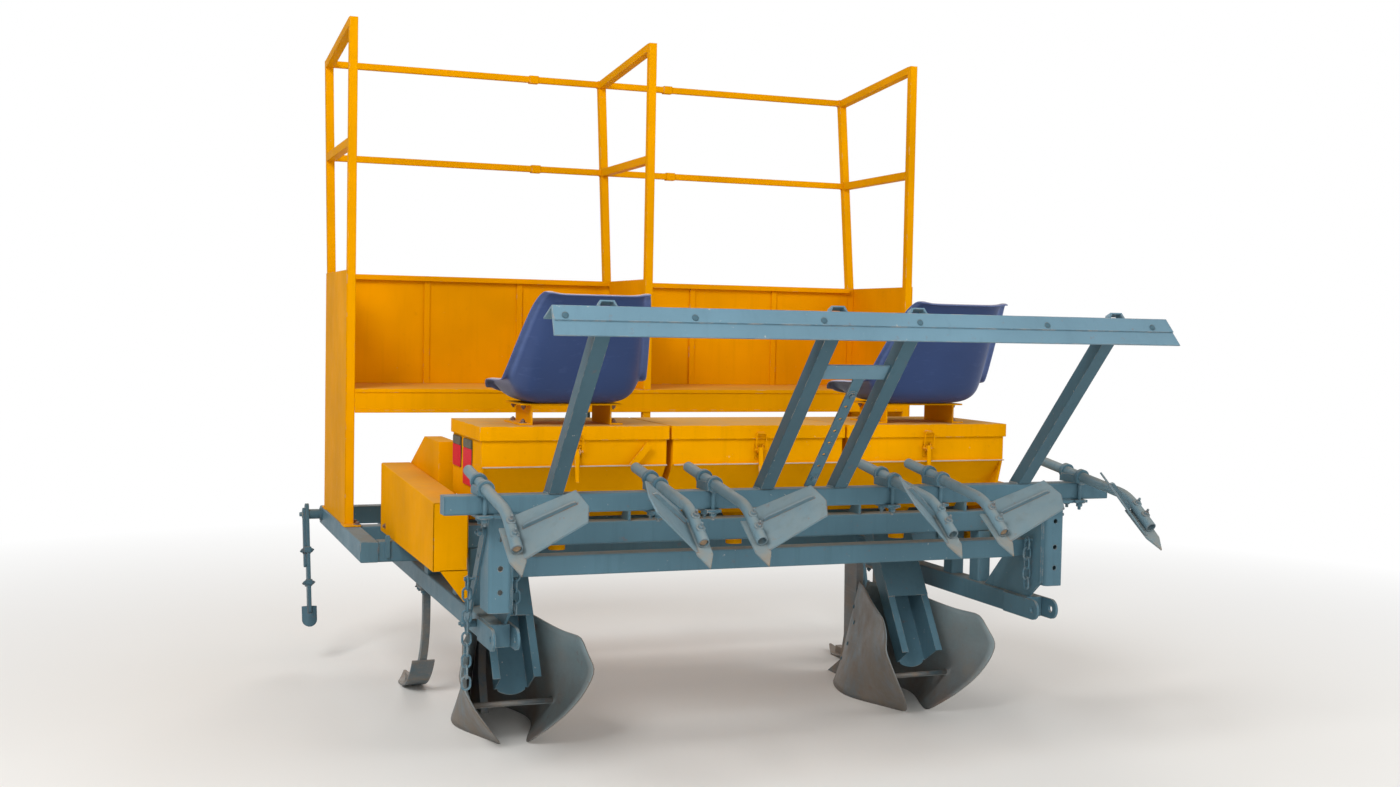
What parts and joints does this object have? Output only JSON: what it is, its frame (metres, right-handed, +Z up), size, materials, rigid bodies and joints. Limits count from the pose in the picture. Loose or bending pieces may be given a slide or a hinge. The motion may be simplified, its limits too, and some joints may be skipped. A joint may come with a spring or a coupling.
{
  "type": "tractor-mounted sugarcane planter",
  "caption": "Tractor-mounted sugarcane planter with a tall cane rack, seats on lidded fertiliser boxes, furrow openers, seed chutes and a rear bar of coverers.",
  "frame": {"origin": "on the ground, under the middle of the part's bounding box", "axes": "+Z up, +Y the way the machine travels, +X to the right seen from behind"},
  "size_m": [2.948, 3.2152, 2.888],
  "materials": {
    "yellow_paint": "yellow paint, worn and dusty",
    "frame_paint": "blue-grey paint, chipped and dusty",
    "blue_paint": "lighter blue paint with rust at the edges",
    "bare_steel": "rusty bare steel",
    "worn_steel": "soil-scoured grey steel",
    "seat_plastic": "moulded blue plastic, faded at the rim",
    "reflector_plastic": "red reflector"
  },
  "bodies": {
    "frame": {"side_beams": "frame_paint", "fork_plates": "frame_paint", "platform_sides": "frame_paint", "platform_crossbeams": "frame_paint", "packing_blocks": "frame_paint", "hitch_mast": "frame_paint", "mast_braces": "frame_paint", "hitch_lugs": "frame_paint", "box_posts": "frame_paint", "box_beams": "frame_paint", "box_saddles": "frame_paint", "rear_uprights": "frame_paint", "upright_gussets": "frame_paint", "lower_beam": "frame_paint", "toolbar": "frame_paint", "toolbar_caps": "frame_paint", "coverer_clamps": "frame_paint", "leveller_posts": "frame_paint", "adjuster_strip": "frame_paint", "upright_links": "frame_paint", "seed_chutes": "frame_paint", "row_markers": "frame_paint", "rack_rear_posts": "yellow_paint", "rack_panel_posts": "yellow_paint", "rack_front_posts": "yellow_paint", "rack_cross_bars": "yellow_paint", "rack_rails": "yellow_paint", "rack_side_panels": "yellow_paint", "rack_front_panel": "yellow_paint", "rack_partition": "yellow_paint", "rack_floor": "yellow_paint", "rack_floor_beams": "yellow_paint", "rack_floor_joists": "yellow_paint", "box_left": "yellow_paint", "box_middle": "yellow_paint", "box_right": "yellow_paint", "box_spouts": "yellow_paint", "latches": "yellow_paint", "metering_lever": "yellow_paint", "chain_guards": "yellow_paint", "coverer_rods": "blue_paint", "coverer_blades": "blue_paint", "leveller_bar": "blue_paint", "leveller_brace": "blue_paint", "hinge_pins": "bare_steel", "hanging_chains": "bare_steel", "reflectors": "reflector_plastic", "opener_shanks": "worn_steel", "opener_wings": "worn_steel", "front_tines": "worn_steel"},
    "left_lid": {"lid_left": "yellow_paint", "seat_bracket_left": "yellow_paint", "seat_left": "seat_plastic"},
    "middle_lid": {"lid_middle": "yellow_paint"},
    "right_lid": {"lid_right": "yellow_paint", "seat_bracket_right": "yellow_paint", "seat_right": "seat_plastic"}
  },
  "joints": [
    {"name": "left_lid_hinge", "type": "hinge", "parent": "frame", "child": "left_lid", "pos_m": [-0.724, -0.09739, 1.178], "axis": [-1, 0, 0], "range_deg": [0, 75]},
    {"name": "middle_lid_hinge", "type": "hinge", "parent": "frame", "child": "middle_lid", "pos_m": [0, -0.09739, 1.178], "axis": [-1, 0, 0], "range_deg": [0, 95]},
    {"name": "right_lid_hinge", "type": "hinge", "parent": "frame", "child": "right_lid", "pos_m": [0.724, -0.09739, 1.178], "axis": [-1, 0, 0], "range_deg": [0, 75]}
  ]
}
